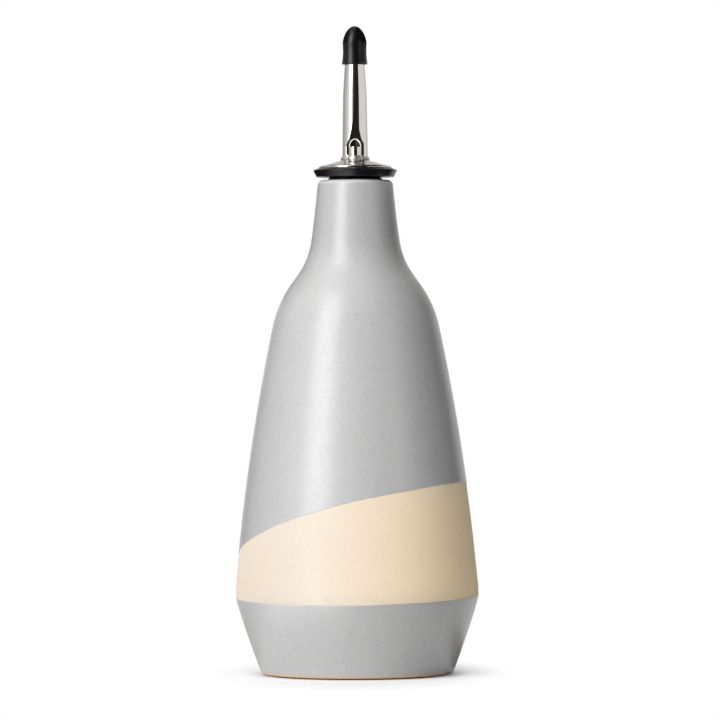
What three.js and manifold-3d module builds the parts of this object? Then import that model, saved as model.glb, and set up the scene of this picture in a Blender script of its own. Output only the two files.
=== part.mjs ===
// Stoneware oil dispenser bottle with a pull-out pourer.
// A slip-cast bottle is dipped twice in grey glaze, which leaves a slanted band of bare clay between the dips.
// A finned silicone stopper plugs its neck and carries a steel pouring spout and a short air vent side by side.
// Millimetres, +Z up, the origin at the middle of the foot, the front of the bottle towards -Y.
import * as THREE from "three";
import { mergeVertices } from "three/addons/utils/BufferGeometryUtils.js";
import Module from "manifold-3d";

const wasm = await Module();
wasm.setup();

// Bottle: radii of the corners of its outline, and how far each corner stands above the one before
const FOOT_RADIUS = 36.2;
const BEVEL_RADIUS = 41.65;
const BEVEL_RISE = 14.7;
const BELT_RADIUS = 46.5;
const BELT_RISE = 15.4;
const FLANK_RADIUS = 40.83;
const FLANK_RISE = 56.9;
const SHOULDER_RADIUS = 29.87;
const SHOULDER_RISE = 53.2;
const NECK_RISE = 17.0;
const THROAT_RISE = 13.7;
const RIM_RISE = 16.35;

// Bottle: how round each of those corners is
const FOOT_ROUND = 2.4;
const BEVEL_ROUND = 360;
const BELT_ROUND = 17;
const FLANK_ROUND = 820;
const SHOULDER_ROUND = 42;
const NECK_ROUND = 28;
const THROAT_ROUND = 300;
const RIM_ROUND = 3.0;
const MOUTH_ROUND = 0.85;

// Bottle: walls, from the body up to the rim, and the foot ring
const WALL = 4.2;
const NECK_WALL = 7.23;
const THROAT_WALL = 5.23;
const RIM_WALL = 3.56;
const FLOOR = 6.0;
const FLOOR_ROUND = 9.0;
const BORE_ROUND = 14.0;
const FOOT_RING = 6.0;
const FOOT_RECESS = 1.6;

// Glaze: its thickness, and the two dip lines, measured from the belt up to the upper one and down to the lower
const GLAZE = 0.2;
const UPPER_DIP = 28.9;
const UPPER_SLANT = 13.2;
const UPPER_LIFT = 7.8;
const UPPER_SWAY = 1.9;
const LOWER_DIP = 0.4;
const LOWER_SLANT = 0.5;
const LOWER_LIFT = 1.3;

// Spout and vent: a swaged steel tube, pressed flat at its front above the collar, and a plain one before it
const SPOUT_RADIUS = 4.88;
const SPOUT_KNEE_RADIUS = 4.54;
const SPOUT_TIP_RADIUS = 3.56;
const SPOUT_WALL = 0.4;
const SPOUT_TAIL = 1.0;
const SPOUT_STRAIGHT = 2.4;
const SPOUT_SLOPE = 22.5;
const SPOUT_TAPER = 15.5;
const SPOUT_TIP = 5.0;
const SPOUT_KNEE_ROUND = 120;
const SPOUT_TIP_ROUND = 60;
const PRESS_DEPTH = 1.4;
const PRESS_RISE = 4.0;
const PRESS_LEAD = 0.6;
const PRESS_FADE = 3.3;
const VENT_RADIUS = 2.36;
const VENT_WALL = 0.45;
const VENT_TAIL = 3.0;
const VENT_RISE = 5.0;
const VENT_SLANT = 55;
const TUBE_GAP = 1.46;

// Stopper: a plug with slanted fins, a seat on the mouth of the bottle and a tapered flange
const PLUG_WALL = 1.0;
const PLUG_DEPTH = 25.0;
const PLUG_LEAD = 1.6;
const FIN_COUNT = 4;
const FIN_DEPTH = 1.0;
const FIN_SLOPE = 1.7;
const FIN_EDGE = 0.5;
const FIN_BACK = 0.5;
const SEAT_NECK = 1.0;
const FLANGE_LIFT = 1.15;
const FLANGE_OVERHANG = 1.74;
const FLANGE_TAPER = 1.2;
const FLANGE_THICKNESS = 2.6;
const FLANGE_LAND = 0.3;
const FLANGE_CROWN = 0.75;

// Dome plate and the two collars brazed on it
const DOME_MARGIN = 1.95;
const DOME_SKIRT = 0.35;
const DOME_RISE = 2.45;
const DOME_FLAT = 5.8;
const DOME_ROUND = 1.1;
const DOME_SHEET = 0.7;
const COLLAR_RISE = 1.55;
const COLLAR_ROUND = 0.5;

// Tip cap: a bullet of soft rubber, its skirt flared at the lip and drawn in at the waist
const CAP_SKIRT = 8.7;
const CAP_WALL = 0.7;
const CAP_LIP_WALL = 0.75;
const CAP_LIP = 0.6;
const CAP_WAIST = 2.6;
const CAP_BULGE = 0.09;
const CAP_NOSE = 6.5;
const CAP_NOSE_POWER = 1.6;
const CAP_CROWN = 5.6;

// Clearances between pieces that slide, that are brazed and that lie flat on each other
const SLIDING_GAP = 0.3;
const BRAZED_GAP = 0.2;
const FLAT_GAP = 0.1;
const COLLAR_GAP = 0.25;

// How finely round forms are divided
const BOTTLE_SEGMENTS = 44;
const STOPPER_SEGMENTS = 40;
const TUBE_SEGMENTS = 28;
const VENT_SEGMENTS = 20;
const CHORD_ERROR = 0.05;
const LEVEL_MARGIN = 5;

// Where the pieces of the pourer stand and how wide the plug and the mouth have to be for them
const pairHalf = SPOUT_RADIUS + TUBE_GAP / 2 + VENT_RADIUS;
const spoutY = pairHalf - SPOUT_RADIUS;
const ventY = VENT_RADIUS - pairHalf;
const coreRadius = pairHalf + SLIDING_GAP + PLUG_WALL;
const finRadius = coreRadius + FIN_DEPTH;
const mouthRadius = finRadius + SLIDING_GAP;
const rimRadius = mouthRadius + RIM_WALL;

// Heights of the bottle's corners and of what stands on its rim
const beltZ = BEVEL_RISE + BELT_RISE;
const flankZ = beltZ + FLANK_RISE;
const shoulderZ = flankZ + SHOULDER_RISE;
const neckZ = shoulderZ + NECK_RISE;
const throatZ = neckZ + THROAT_RISE;
const rimZ = throatZ + RIM_RISE;
const plugZ = rimZ - PLUG_DEPTH;
const flangeZ = rimZ + FLANGE_LIFT;
const flangeEdgeZ = flangeZ + FLANGE_THICKNESS;
const crownZ = flangeEdgeZ + FLANGE_CROWN;
const domeZ = crownZ + FLAT_GAP;
const domeTopZ = domeZ + DOME_SKIRT + DOME_RISE;
const collarTopZ = domeTopZ + COLLAR_RISE;
const pressTopZ = collarTopZ + PRESS_RISE;
const ventMouthZ = domeTopZ + VENT_RISE;
const ventArch = VENT_RADIUS * Math.tan(THREE.MathUtils.degToRad(VENT_SLANT));
const spoutTopZ = domeTopZ + SPOUT_STRAIGHT + SPOUT_SLOPE + SPOUT_TAPER + SPOUT_TIP;
const flangeRadius = rimRadius + FLANGE_OVERHANG;
const domeRadius = flangeRadius - DOME_MARGIN;

// A corner of an outline: its radius from the axis, its height and how round it is.
function corner(r, z, round = 0) {
  return { at: new THREE.Vector2(r, z), round };
}

// An outline through the given corners with each one rounded by an arc, whose chords stay within CHORD_ERROR.
// Where two arcs would meet on the side between them, both shrink to fit it.
function roundedOutline(corners) {
  const last = corners.length - 1;
  const towards = (i, j) => corners[j].at.clone().sub(corners[i].at);
  const halfAngle = (i) => {
    const cosine = towards(i, i - 1).normalize().dot(towards(i, i + 1).normalize());
    return Math.acos(THREE.MathUtils.clamp(cosine, -1, 1)) / 2;
  };
  const wanted = corners.map((c, i) => (c.round && i > 0 && i < last ? c.round / Math.tan(halfAngle(i)) : 0));
  const share = corners.slice(0, last).map((c, i) => {
    const length = towards(i, i + 1).length();
    return Math.min(1, (0.98 * length) / Math.max(wanted[i] + wanted[i + 1], 1e-9));
  });
  return corners.flatMap((c, i) => {
    if (!wanted[i]) return [c.at.clone()];
    const reach = wanted[i] * Math.min(share[i - 1], share[i]);
    const radius = reach * Math.tan(halfAngle(i));
    const before = towards(i, i - 1).normalize();
    const after = towards(i, i + 1).normalize();
    const toCentre = before.clone().add(after).normalize();
    const centre = c.at.clone().addScaledVector(toCentre, radius / Math.sin(halfAngle(i)));
    const start = c.at.clone().addScaledVector(before, reach);
    const turn = Math.sign(after.cross(before)) * (Math.PI - 2 * halfAngle(i));
    const step = 2 * Math.acos(1 - Math.min(CHORD_ERROR / radius, 1));
    const steps = Math.max(1, Math.ceil(Math.abs(turn) / step));
    return Array.from({ length: steps + 1 }, (_, k) => start.clone().rotateAround(centre, (turn * k) / steps));
  });
}

// Revolves an outline about the Z axis; going up on the outside keeps the faces pointing out.
function revolve(outline, segments) {
  return new THREE.LatheGeometry(outline, segments).rotateX(Math.PI / 2);
}

// A straight round bar or drill about a vertical axis that stands at the given y.
function bar(radius, fromZ, toZ, segments, y = 0) {
  const outline = [[0, fromZ], [radius, fromZ], [radius, toZ], [0, toZ]];
  return revolve(outline.map(([r, z]) => new THREE.Vector2(r, z)), segments).translate(0, y, 0);
}

// A solid for cutting and joining, from a closed geometry.
function solid(geometry) {
  const bare = geometry.clone();
  bare.deleteAttribute("normal");
  bare.deleteAttribute("uv");
  const merged = mergeVertices(bare, 1e-4);
  const vertProperties = new Float32Array(merged.attributes.position.array);
  const triVerts = new Uint32Array(merged.index.array);
  return new wasm.Manifold(new wasm.Mesh({ numProp: 3, vertProperties, triVerts }));
}

// A geometry from a solid that has been cut or joined.
function geometryOf(made) {
  const { vertProperties, triVerts } = made.getMesh();
  const geometry = new THREE.BufferGeometry();
  geometry.setAttribute("position", new THREE.BufferAttribute(new Float32Array(vertProperties), 3));
  geometry.setIndex(new THREE.BufferAttribute(new Uint32Array(triVerts), 1));
  geometry.computeVertexNormals();
  return geometry;
}

// A geometry less each of the given cutters.
function cut(geometry, ...cutters) {
  return geometryOf(cutters.reduce((rest, cutter) => rest.subtract(solid(cutter)), solid(geometry)));
}

// Stoneware bottle

// The outside of the bottle from the edge of its foot to the top of its rim.
function bottleOutside() {
  return [
    corner(FOOT_RADIUS - FOOT_RING, 0),
    corner(FOOT_RADIUS, 0, FOOT_ROUND),
    corner(BEVEL_RADIUS, BEVEL_RISE, BEVEL_ROUND),
    corner(BELT_RADIUS, beltZ, BELT_ROUND),
    corner(FLANK_RADIUS, flankZ, FLANK_ROUND),
    corner(SHOULDER_RADIUS, shoulderZ, SHOULDER_ROUND),
    corner(mouthRadius + NECK_WALL, neckZ, NECK_ROUND),
    corner(mouthRadius + THROAT_WALL, throatZ, THROAT_ROUND),
    corner(rimRadius, rimZ, RIM_ROUND),
    corner(mouthRadius, rimZ, MOUTH_ROUND),
    corner(mouthRadius, throatZ),
  ];
}

// Where two straight lines meet, each given by a point on it and its direction.
function meeting(a, b) {
  const gap = b.point.clone().sub(a.point);
  const along = gap.cross(b.direction) / a.direction.cross(b.direction);
  return a.point.clone().addScaledVector(a.direction, along);
}

// The cavity, from the mouth's bore down to the middle of the floor.
// Each side of the body moves inwards by the wall, and neighbouring sides meet at the cavity's corners.
function bottleInside() {
  const body = bottleOutside().slice(1, 7);
  const sides = body.slice(1).map((upper, i) => {
    const direction = upper.at.clone().sub(body[i].at).normalize();
    const inwards = new THREE.Vector2(-direction.y, direction.x);
    return { point: upper.at.clone().addScaledVector(inwards, WALL), direction };
  });
  const floor = { point: new THREE.Vector2(0, FLOOR), direction: new THREE.Vector2(1, 0) };
  const bore = { point: new THREE.Vector2(mouthRadius, 0), direction: new THREE.Vector2(0, 1) };
  const lines = [floor, ...sides, bore];
  const rounds = [FLOOR_ROUND, BEVEL_ROUND, BELT_ROUND - WALL, FLANK_ROUND, SHOULDER_ROUND - WALL, BORE_ROUND];
  const corners = rounds.map((round, i) => {
    const at = meeting(lines[i], lines[i + 1]);
    return corner(at.x, at.y, round);
  });
  return roundedOutline([corner(mouthRadius, throatZ), ...corners.reverse(), corner(0, FLOOR)]);
}

// Heights of the two glaze edges; the angle runs from the front of the bottle towards its right side.
function upperDip(angle) {
  const slant = UPPER_SLANT * Math.sin(angle) + UPPER_LIFT * Math.cos(angle);
  return beltZ + UPPER_DIP + slant - UPPER_SWAY * Math.sin(2 * angle);
}
function lowerDip(angle) {
  return beltZ - LOWER_DIP + LOWER_SLANT * Math.sin(angle) - LOWER_LIFT * Math.cos(angle);
}

// A wall that goes once round the Z axis; the outline may differ from angle to angle, but not in its count of points.
function loft(outlineAt, segments) {
  const outlines = Array.from({ length: segments }, (_, i) => {
    const angle = (2 * Math.PI * i) / segments;
    return outlineAt(angle).map((p) => [p.x * Math.sin(angle), -p.x * Math.cos(angle), p.y]);
  });
  const count = outlines[0].length;
  const index = [];
  for (let i = 0; i < segments; i++) {
    const here = i * count;
    const next = ((i + 1) % segments) * count;
    for (let j = 0; j < count - 1; j++) {
      index.push(here + j, next + j, next + j + 1);
      index.push(here + j, next + j + 1, here + j + 1);
    }
  }
  const geometry = new THREE.BufferGeometry();
  geometry.setAttribute("position", new THREE.Float32BufferAttribute(outlines.flat(2), 3));
  geometry.setIndex(index);
  geometry.computeVertexNormals();
  return geometry;
}

// The bottle is lofted round the axis, because its outline changes with the slant of the dip lines.
// Between the dips the wall is bare clay and stands back by the thickness of the glaze.
function bottleGeometry() {
  const outside = roundedOutline(bottleOutside());
  const inside = bottleInside();
  const angles = Array.from({ length: BOTTLE_SEGMENTS }, (_, i) => (2 * Math.PI * i) / BOTTLE_SEGMENTS);
  const footTop = FOOT_ROUND;
  const levelZ = Math.max(...angles.map(upperDip)) + LEVEL_MARGIN;
  const wallAt = (z) => {
    const k = outside.findIndex((p, i) => i > 1 && p.y >= z);
    const t = (z - outside[k - 1].y) / (outside[k].y - outside[k - 1].y);
    return THREE.MathUtils.lerp(outside[k - 1].x, outside[k].x, t);
  };
  const rows = (fromZ, toZ, shares, recess) =>
    shares.map((share) => {
      const z = THREE.MathUtils.lerp(fromZ, toZ, share);
      return new THREE.Vector2(wallAt(z) - recess, z);
    });
  const rimTop = outside.findIndex((p) => p.y >= rimZ - 1e-6);
  const foot = outside.filter((p, i) => i < rimTop && p.y < footTop);
  const upper = outside.filter((p, i) => i >= rimTop || p.y > levelZ);
  const recessRadius = FOOT_RADIUS - FOOT_RING - FOOT_RECESS;
  const under = [new THREE.Vector2(0, FOOT_RECESS), new THREE.Vector2(recessRadius, FOOT_RECESS)];
  return loft((angle) => {
    const low = lowerDip(angle);
    const high = upperDip(angle);
    return [
      ...under,
      ...foot,
      ...rows(footTop, low, [0, 0.3, 0.6, 0.85, 1], 0),
      ...rows(low, high, [0, 0.05, 0.11, 0.18, 0.4, 0.7, 1], GLAZE),
      ...rows(high, levelZ, [0, 0.5, 1], 0),
      ...upper,
      ...inside.slice(1),
    ];
  }, BOTTLE_SEGMENTS);
}

// Silicone stopper

// One fin of the plug: a long slope that lets it in and a short back that holds it.
function fin(z) {
  return [
    corner(coreRadius, z),
    corner(finRadius, z + FIN_SLOPE),
    corner(finRadius, z + FIN_SLOPE + FIN_EDGE),
    corner(coreRadius, z + FIN_SLOPE + FIN_EDGE + FIN_BACK),
  ];
}

// The fins share the plug evenly; above them the seat swells into the mouth and necks in under the flange.
function stopperGeometry() {
  const seatZ = rimZ - mouthRadius + coreRadius;
  const finPitch = (seatZ - plugZ - PLUG_LEAD) / FIN_COUNT;
  const fins = Array.from({ length: FIN_COUNT }, (_, i) => fin(plugZ + PLUG_LEAD + i * finPitch)).flat();
  const outline = roundedOutline([
    corner(0, plugZ),
    corner(coreRadius - PLUG_WALL / 2, plugZ),
    ...fins,
    corner(coreRadius, seatZ),
    corner(mouthRadius, rimZ),
    corner(mouthRadius - SEAT_NECK, flangeZ),
    corner(flangeRadius - FLANGE_TAPER, flangeZ),
    corner(flangeRadius, flangeEdgeZ - FLANGE_LAND),
    corner(flangeRadius, flangeEdgeZ),
    corner(domeRadius + BRAZED_GAP, crownZ),
    corner(0, crownZ),
  ]);
  return cut(
    revolve(outline, STOPPER_SEGMENTS),
    bar(SPOUT_RADIUS + SLIDING_GAP, plugZ - 1, crownZ + 1, TUBE_SEGMENTS, spoutY),
    bar(VENT_RADIUS + SLIDING_GAP, plugZ - 1, crownZ + 1, VENT_SEGMENTS, ventY),
  );
}

// Steel pourer

// The upper side of the dome plate, from its edge to the axis; a lift raises it evenly.
function domeOutside(lift = 0) {
  return [
    corner(domeRadius, domeZ + lift),
    corner(domeRadius, domeZ + DOME_SKIRT + lift, DOME_ROUND),
    corner(DOME_FLAT, domeTopZ + lift, DOME_FLAT),
    corner(0, domeTopZ + lift),
  ];
}

// A pressed sheet, open underneath, with a hole for each tube.
function domeGeometry() {
  const outline = roundedOutline([
    corner(0, domeTopZ - DOME_SHEET),
    corner(DOME_FLAT, domeTopZ - DOME_SHEET, DOME_FLAT),
    corner(domeRadius - 2 * DOME_SHEET, domeZ + DOME_SKIRT - DOME_SHEET / 4),
    corner(domeRadius - DOME_SHEET, domeZ),
    ...domeOutside(),
  ]);
  return cut(
    revolve(outline, STOPPER_SEGMENTS),
    bar(SPOUT_RADIUS + BRAZED_GAP, domeZ - 1, domeTopZ + 1, TUBE_SEGMENTS, spoutY),
    bar(VENT_RADIUS + BRAZED_GAP, domeZ - 1, domeTopZ + 1, VENT_SEGMENTS, ventY),
  );
}

// A ring round the foot of a tube, its underside shaped to the dome.
function collarGeometry(tubeRadius, y, segments) {
  const outer = tubeRadius + (TUBE_GAP - COLLAR_GAP) / 2;
  const inner = tubeRadius + BRAZED_GAP;
  const outline = roundedOutline([
    corner(inner, domeZ),
    corner(outer, domeZ),
    corner(outer, collarTopZ, COLLAR_ROUND),
    corner(inner, collarTopZ),
    corner(inner, domeZ),
  ]);
  const bed = roundedOutline([corner(0, domeZ - 1), corner(domeRadius, domeZ - 1), ...domeOutside(FLAT_GAP)]);
  return cut(revolve(outline, segments).translate(0, y, 0), revolve(bed, STOPPER_SEGMENTS));
}

// The spout runs straight through the plug and the dome, leans in gently, tapers and ends in a short straight tip.
function spoutOutside() {
  const straightZ = domeTopZ + SPOUT_STRAIGHT;
  const kneeZ = straightZ + SPOUT_SLOPE;
  return [
    corner(SPOUT_RADIUS, plugZ - SPOUT_TAIL),
    corner(SPOUT_RADIUS, straightZ),
    corner(SPOUT_KNEE_RADIUS, kneeZ, SPOUT_KNEE_ROUND),
    corner(SPOUT_TIP_RADIUS, kneeZ + SPOUT_TAPER, SPOUT_TIP_ROUND),
    corner(SPOUT_TIP_RADIUS, spoutTopZ),
  ];
}

// A turned outline moved towards or away from the axis.
function offset(corners, distance) {
  return corners.map((c) => corner(c.at.x + distance, c.at.y, c.round));
}

// An outline that rises all the way, with a point added at each of the given heights.
function withHeights(outline, heights) {
  return outline.flatMap((p, i) => {
    const next = outline[i + 1] ?? p;
    const between = heights.filter((z) => z > p.y && z < next.y).sort((a, b) => a - b);
    return [p, ...between.map((z) => p.clone().lerp(next, (z - p.y) / (next.y - p.y)))];
  });
}

// How deep the front of the spout is pressed in: evenly behind the vent, then less and less going up.
function pressDepth(z) {
  const lead = THREE.MathUtils.clamp((z - collarTopZ) / PRESS_LEAD, 0, 1);
  return PRESS_DEPTH * lead * Math.exp(-Math.max(0, z - pressTopZ) / PRESS_FADE);
}

// The tube is round; its front is pressed flat above the collar to give the mouth of the vent more room.
function spoutGeometry() {
  const fades = [0, 0.5, 1, 1.7, 2.7].map((share) => pressTopZ + share * PRESS_FADE);
  const heights = [collarTopZ, collarTopZ + PRESS_LEAD, ...fades];
  const outer = withHeights(roundedOutline(spoutOutside()), heights);
  const inner = withHeights(roundedOutline(offset(spoutOutside(), -SPOUT_WALL)), heights);
  const tube = revolve([...outer, ...inner.reverse(), outer[0].clone()], TUBE_SEGMENTS);
  const { position } = tube.attributes;
  for (let i = 0; i < position.count; i++) {
    const radius = Math.hypot(position.getX(i), position.getY(i));
    position.setY(i, Math.max(position.getY(i), pressDepth(position.getZ(i)) - radius));
  }
  return tube.translate(0, spoutY, 0);
}

// What is cut off the top of the vent, seen from the side: level over its front half, on the slant over its back.
function ventMouth() {
  const reach = 2 * VENT_RADIUS;
  const side = [[-reach, 0], [0, 0], [reach, 2 * ventArch], [-reach, 2 * ventArch]];
  const shape = new THREE.Shape(side.map(([y, z]) => new THREE.Vector2(y, z)));
  const block = new THREE.ExtrudeGeometry(shape, { depth: 2 * reach, bevelEnabled: false });
  return block.rotateX(Math.PI / 2).rotateZ(Math.PI / 2).translate(-reach, ventY, ventMouthZ);
}

// The vent's mouth opens to the front, away from the spout, under an arch that is left of its back half.
function ventGeometry() {
  const bottomZ = plugZ - VENT_TAIL;
  const topZ = ventMouthZ + 1.5 * ventArch;
  return cut(
    bar(VENT_RADIUS, bottomZ, topZ, VENT_SEGMENTS, ventY),
    bar(VENT_RADIUS - VENT_WALL, bottomZ - 1, topZ + 1, VENT_SEGMENTS, ventY),
    ventMouth(),
  );
}

// Rubber tip cap

// The bore takes the end of the spout with a little room; the nose is a bullet whose radius falls as
// the square root of one less the height to a power.
function capGeometry() {
  const lipZ = spoutTopZ - CAP_SKIRT;
  const bore = roundedOutline(offset(spoutOutside(), SLIDING_GAP));
  const boreAt = (z) => {
    const k = bore.findIndex((p) => p.y >= z);
    const t = (z - bore[k - 1].y) / (bore[k].y - bore[k - 1].y);
    return THREE.MathUtils.lerp(bore[k - 1].x, bore[k].x, t);
  };
  const boreTopZ = spoutTopZ + SLIDING_GAP;
  const topZ = boreTopZ + CAP_CROWN;
  const noseZ = topZ - CAP_NOSE;
  const waistRadius = SPOUT_TIP_RADIUS + SLIDING_GAP + CAP_WALL;
  const noseRadius = waistRadius + CAP_BULGE;
  const lipRadius = boreAt(lipZ) + CAP_LIP_WALL;
  const side = new THREE.SplineCurve([
    new THREE.Vector2(lipRadius, lipZ + CAP_LIP),
    new THREE.Vector2(waistRadius, noseZ - CAP_WAIST),
    new THREE.Vector2(noseRadius, noseZ),
  ]);
  const noseSteps = 9;
  const nose = Array.from({ length: noseSteps }, (_, i) => {
    const share = Math.sin((Math.PI / 2) * ((i + 1) / noseSteps));
    return new THREE.Vector2(noseRadius * Math.sqrt(1 - share ** CAP_NOSE_POWER), noseZ + CAP_NOSE * share);
  });
  const outline = [
    new THREE.Vector2(0, boreTopZ),
    new THREE.Vector2(boreAt(spoutTopZ), boreTopZ),
    ...bore.filter((p) => p.y > lipZ && p.y < spoutTopZ).reverse(),
    new THREE.Vector2(boreAt(lipZ), lipZ),
    new THREE.Vector2(lipRadius - CAP_LIP / 2, lipZ),
    new THREE.Vector2(lipRadius, lipZ + CAP_LIP / 2),
    ...side.getPoints(8),
    ...nose,
  ];
  return revolve(outline, TUBE_SEGMENTS).translate(0, spoutY, 0);
}

// Materials

const glaze = { color: 0xb4b5b6, roughness: 0.42, metalness: 0 };
const silicone = { color: 0x1d1e20, roughness: 0.62, metalness: 0 };
const steel = { color: 0xc8c5c0, roughness: 0.12, metalness: 1 };
const rubber = { color: 0x17181b, roughness: 0.5, metalness: 0 };

function piece(name, geometry, finish) {
  const mesh = new THREE.Mesh(geometry, new THREE.MeshStandardMaterial(finish));
  mesh.name = name;
  return mesh;
}

const pourer = new THREE.Group();
pourer.add(
  piece("dome_plate", domeGeometry(), steel),
  piece("spout_tube", spoutGeometry(), steel),
  piece("spout_collar", collarGeometry(SPOUT_RADIUS, spoutY, TUBE_SEGMENTS), steel),
  piece("vent_tube", ventGeometry(), steel),
  piece("vent_collar", collarGeometry(VENT_RADIUS, ventY, VENT_SEGMENTS), steel),
);

const dispenser = new THREE.Group();
dispenser.add(
  piece("bottle", bottleGeometry(), glaze),
  piece("stopper", stopperGeometry(), silicone),
  pourer,
  piece("tip_cap", capGeometry(), rubber),
);

export default dispenser;
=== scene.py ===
# %% [markdown]
# # A stoneware oil dispenser bottle
#
# The object is a slip-cast bottle, dipped twice in grey glaze so that a slanted band of clay stays bare,
# and a pull-out pourer: a finned silicone stopper, a steel dome with a spout and an air vent, and a
# rubber cap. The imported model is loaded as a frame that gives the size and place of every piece. Each
# piece is then made again here as a fine surface from numpy arrays, where the frame says it is.

import bpy
import numpy as np
from mathutils import Matrix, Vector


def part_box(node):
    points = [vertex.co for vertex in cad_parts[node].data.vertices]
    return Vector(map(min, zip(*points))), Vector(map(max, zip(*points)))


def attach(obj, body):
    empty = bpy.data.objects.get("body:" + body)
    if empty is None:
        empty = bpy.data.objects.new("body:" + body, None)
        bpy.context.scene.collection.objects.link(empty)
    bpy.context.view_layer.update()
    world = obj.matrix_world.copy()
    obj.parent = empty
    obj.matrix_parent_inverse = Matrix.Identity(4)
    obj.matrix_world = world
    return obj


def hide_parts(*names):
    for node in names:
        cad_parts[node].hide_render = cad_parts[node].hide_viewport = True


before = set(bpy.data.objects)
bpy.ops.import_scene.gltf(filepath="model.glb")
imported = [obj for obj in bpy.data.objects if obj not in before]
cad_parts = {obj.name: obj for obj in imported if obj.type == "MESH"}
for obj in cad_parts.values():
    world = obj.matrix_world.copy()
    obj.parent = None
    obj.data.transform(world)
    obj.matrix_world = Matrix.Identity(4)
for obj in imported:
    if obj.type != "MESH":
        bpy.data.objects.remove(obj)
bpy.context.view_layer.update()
MM = 0.001

# %% [markdown]
# ## Reading sizes from the frame
#
# A node's box gives its reach from side to side and from bottom to top. Nearly every piece here is round,
# so half its width is a radius. The outlines below are written in millimetres, because that is how such a
# piece is drawn, and they become metres when the mesh is made.


# %% Radii and heights of the nodes
def reach(node):
    """Radius, middle y, lowest and highest z of a round node, in millimetres, from its box in the frame."""
    low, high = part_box(node)
    return (high.x - low.x) / 2 / MM, (low.y + high.y) / 2 / MM, low.z / MM, high.z / MM


_, _, _, RIM_Z = reach("bottle")
FLANGE_RADIUS, _, PLUG_Z, CROWN_Z = reach("stopper")
DOME_RADIUS, _, DOME_Z, DOME_TOP_Z = reach("dome_plate")
SPOUT_RADIUS, SPOUT_Y, SPOUT_Z, SPOUT_TOP_Z = reach("spout_tube")
SPOUT_COLLAR_RADIUS, _, _, COLLAR_TOP_Z = reach("spout_collar")
VENT_RADIUS, VENT_Y, VENT_Z, VENT_TOP_Z = reach("vent_tube")
VENT_COLLAR_RADIUS, _, _, _ = reach("vent_collar")
CAP_RADIUS, _, CAP_Z, CAP_TOP_Z = reach("tip_cap")
print(f"rim at {RIM_Z:.1f} mm and cap's top at {CAP_TOP_Z:.1f} mm")
print(f"spout at y {SPOUT_Y:.2f} mm and vent at y {VENT_Y:.2f} mm")

# %% [markdown]
# ## Outlines with rounded corners
#
# A turned or moulded piece is drawn as straight sides whose corners are rounded. Bevel modifiers could
# round the edges of a mesh, but here each corner has a radius of its own, from a tenth of a millimetre to
# 820. So a corner is written as (radius, height, rounding), and arcs and straights are then divided
# finely enough to look smooth.

# %% Rounded corners
SIDE_FILL = 0.98
TURN_STEP = 0.09
TINY = 1e-9


def divided(points, step):
    """The same line with every side longer than step cut into equal shorter ones."""
    gap = np.linalg.norm(np.diff(points, axis=0), axis=1)
    count = np.maximum(1, np.ceil(gap / step)).astype(int)
    start = np.repeat(np.arange(len(gap)), count)
    share = np.concatenate([np.arange(n) / n for n in count])
    between = points[start] + (points[start + 1] - points[start]) * share[:, None]
    return np.concatenate([between, points[-1:]])


def rounded(corners, step, turn_step=TURN_STEP):
    """Straight sides through (radius, height, rounding) corners, with an arc at each rounded corner.

    Points are complex numbers, radius + i height. An arc of radius R that turns by an angle a leaves its
    side R tan(a / 2) before the corner, and then runs start + heading R (exp(i a) - 1) / i. Where two arcs
    would meet on one side, both shrink to fit. Straights and arcs are divided every step, in millimetres,
    and arcs every turn_step radians too.
    """
    at = np.array([complex(*c[:2]) for c in corners])
    rounding = np.array([(*c, 0)[2] for c in corners[1:-1]], float)
    side = np.diff(at)
    heading = side / np.abs(side)
    turn = np.angle(heading[1:] / heading[:-1])
    back = np.pad(rounding * np.tan(np.abs(turn) / 2), 1)
    fit = np.minimum(1, SIDE_FILL * np.abs(side) / np.maximum(back[:-1] + back[1:], TINY))
    back[1:-1] *= np.minimum(fit[:-1], fit[1:])
    runs = [at[:1]]
    for corner, way, bend, leave in zip(at[1:-1], heading, turn, back[1:-1]):
        radius = leave / np.tan(abs(bend) / 2)
        steps = 1 + int(abs(bend) * max(1 / turn_step, radius / step))
        swept = np.linspace(0, bend, steps + 1) if leave else np.zeros(1)
        runs.append(corner - way * leave + way * radius * np.sign(bend) * (np.exp(1j * swept) - 1) / 1j)
    line = np.concatenate([*runs, at[-1:]])
    return divided(np.stack((line.real, line.imag), 1), step)


print("a square corner rounded by 2 mm:", len(rounded([(0, 0), (9, 0, 2), (9, 9)], step=1)), "points")


# %% A wall of even thickness
def inset(corners, wall):
    """Where the sides of an outline meet once each has moved inwards, to its left, by the wall.

    Two lines p + a s and q + b t meet where s is the cross product of q - p and b over that of a and b.
    """
    at = np.array([c[:2] for c in corners], float)
    unit = np.diff(at, axis=0)
    unit /= np.linalg.norm(unit, axis=1)[:, None]
    point = at[:-1] + wall * np.stack((-unit[:, 1], unit[:, 0]), 1)
    gap, a, b = point[1:] - point[:-1], unit[:-1], unit[1:]
    along = (gap[:, 0] * b[:, 1] - gap[:, 1] * b[:, 0]) / (a[:, 0] * b[:, 1] - a[:, 1] * b[:, 0])
    return point[:-1] + a * along[:, None]


print("inside a wall of 1 mm, the corner (9, 0) becomes", inset([(0, 0), (9, 0), (9, 9)], 1)[0].tolist())

# %% [markdown]
# ## From a grid of points to a mesh
#
# Every surface here is a grid: rows along an outline, columns round the axis. A Screw modifier also turns
# an outline, but not one that changes on its way round. So one function lays out the points, and another
# makes the mesh of them, with smooth shading, closed poles and faces that point outwards.


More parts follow.
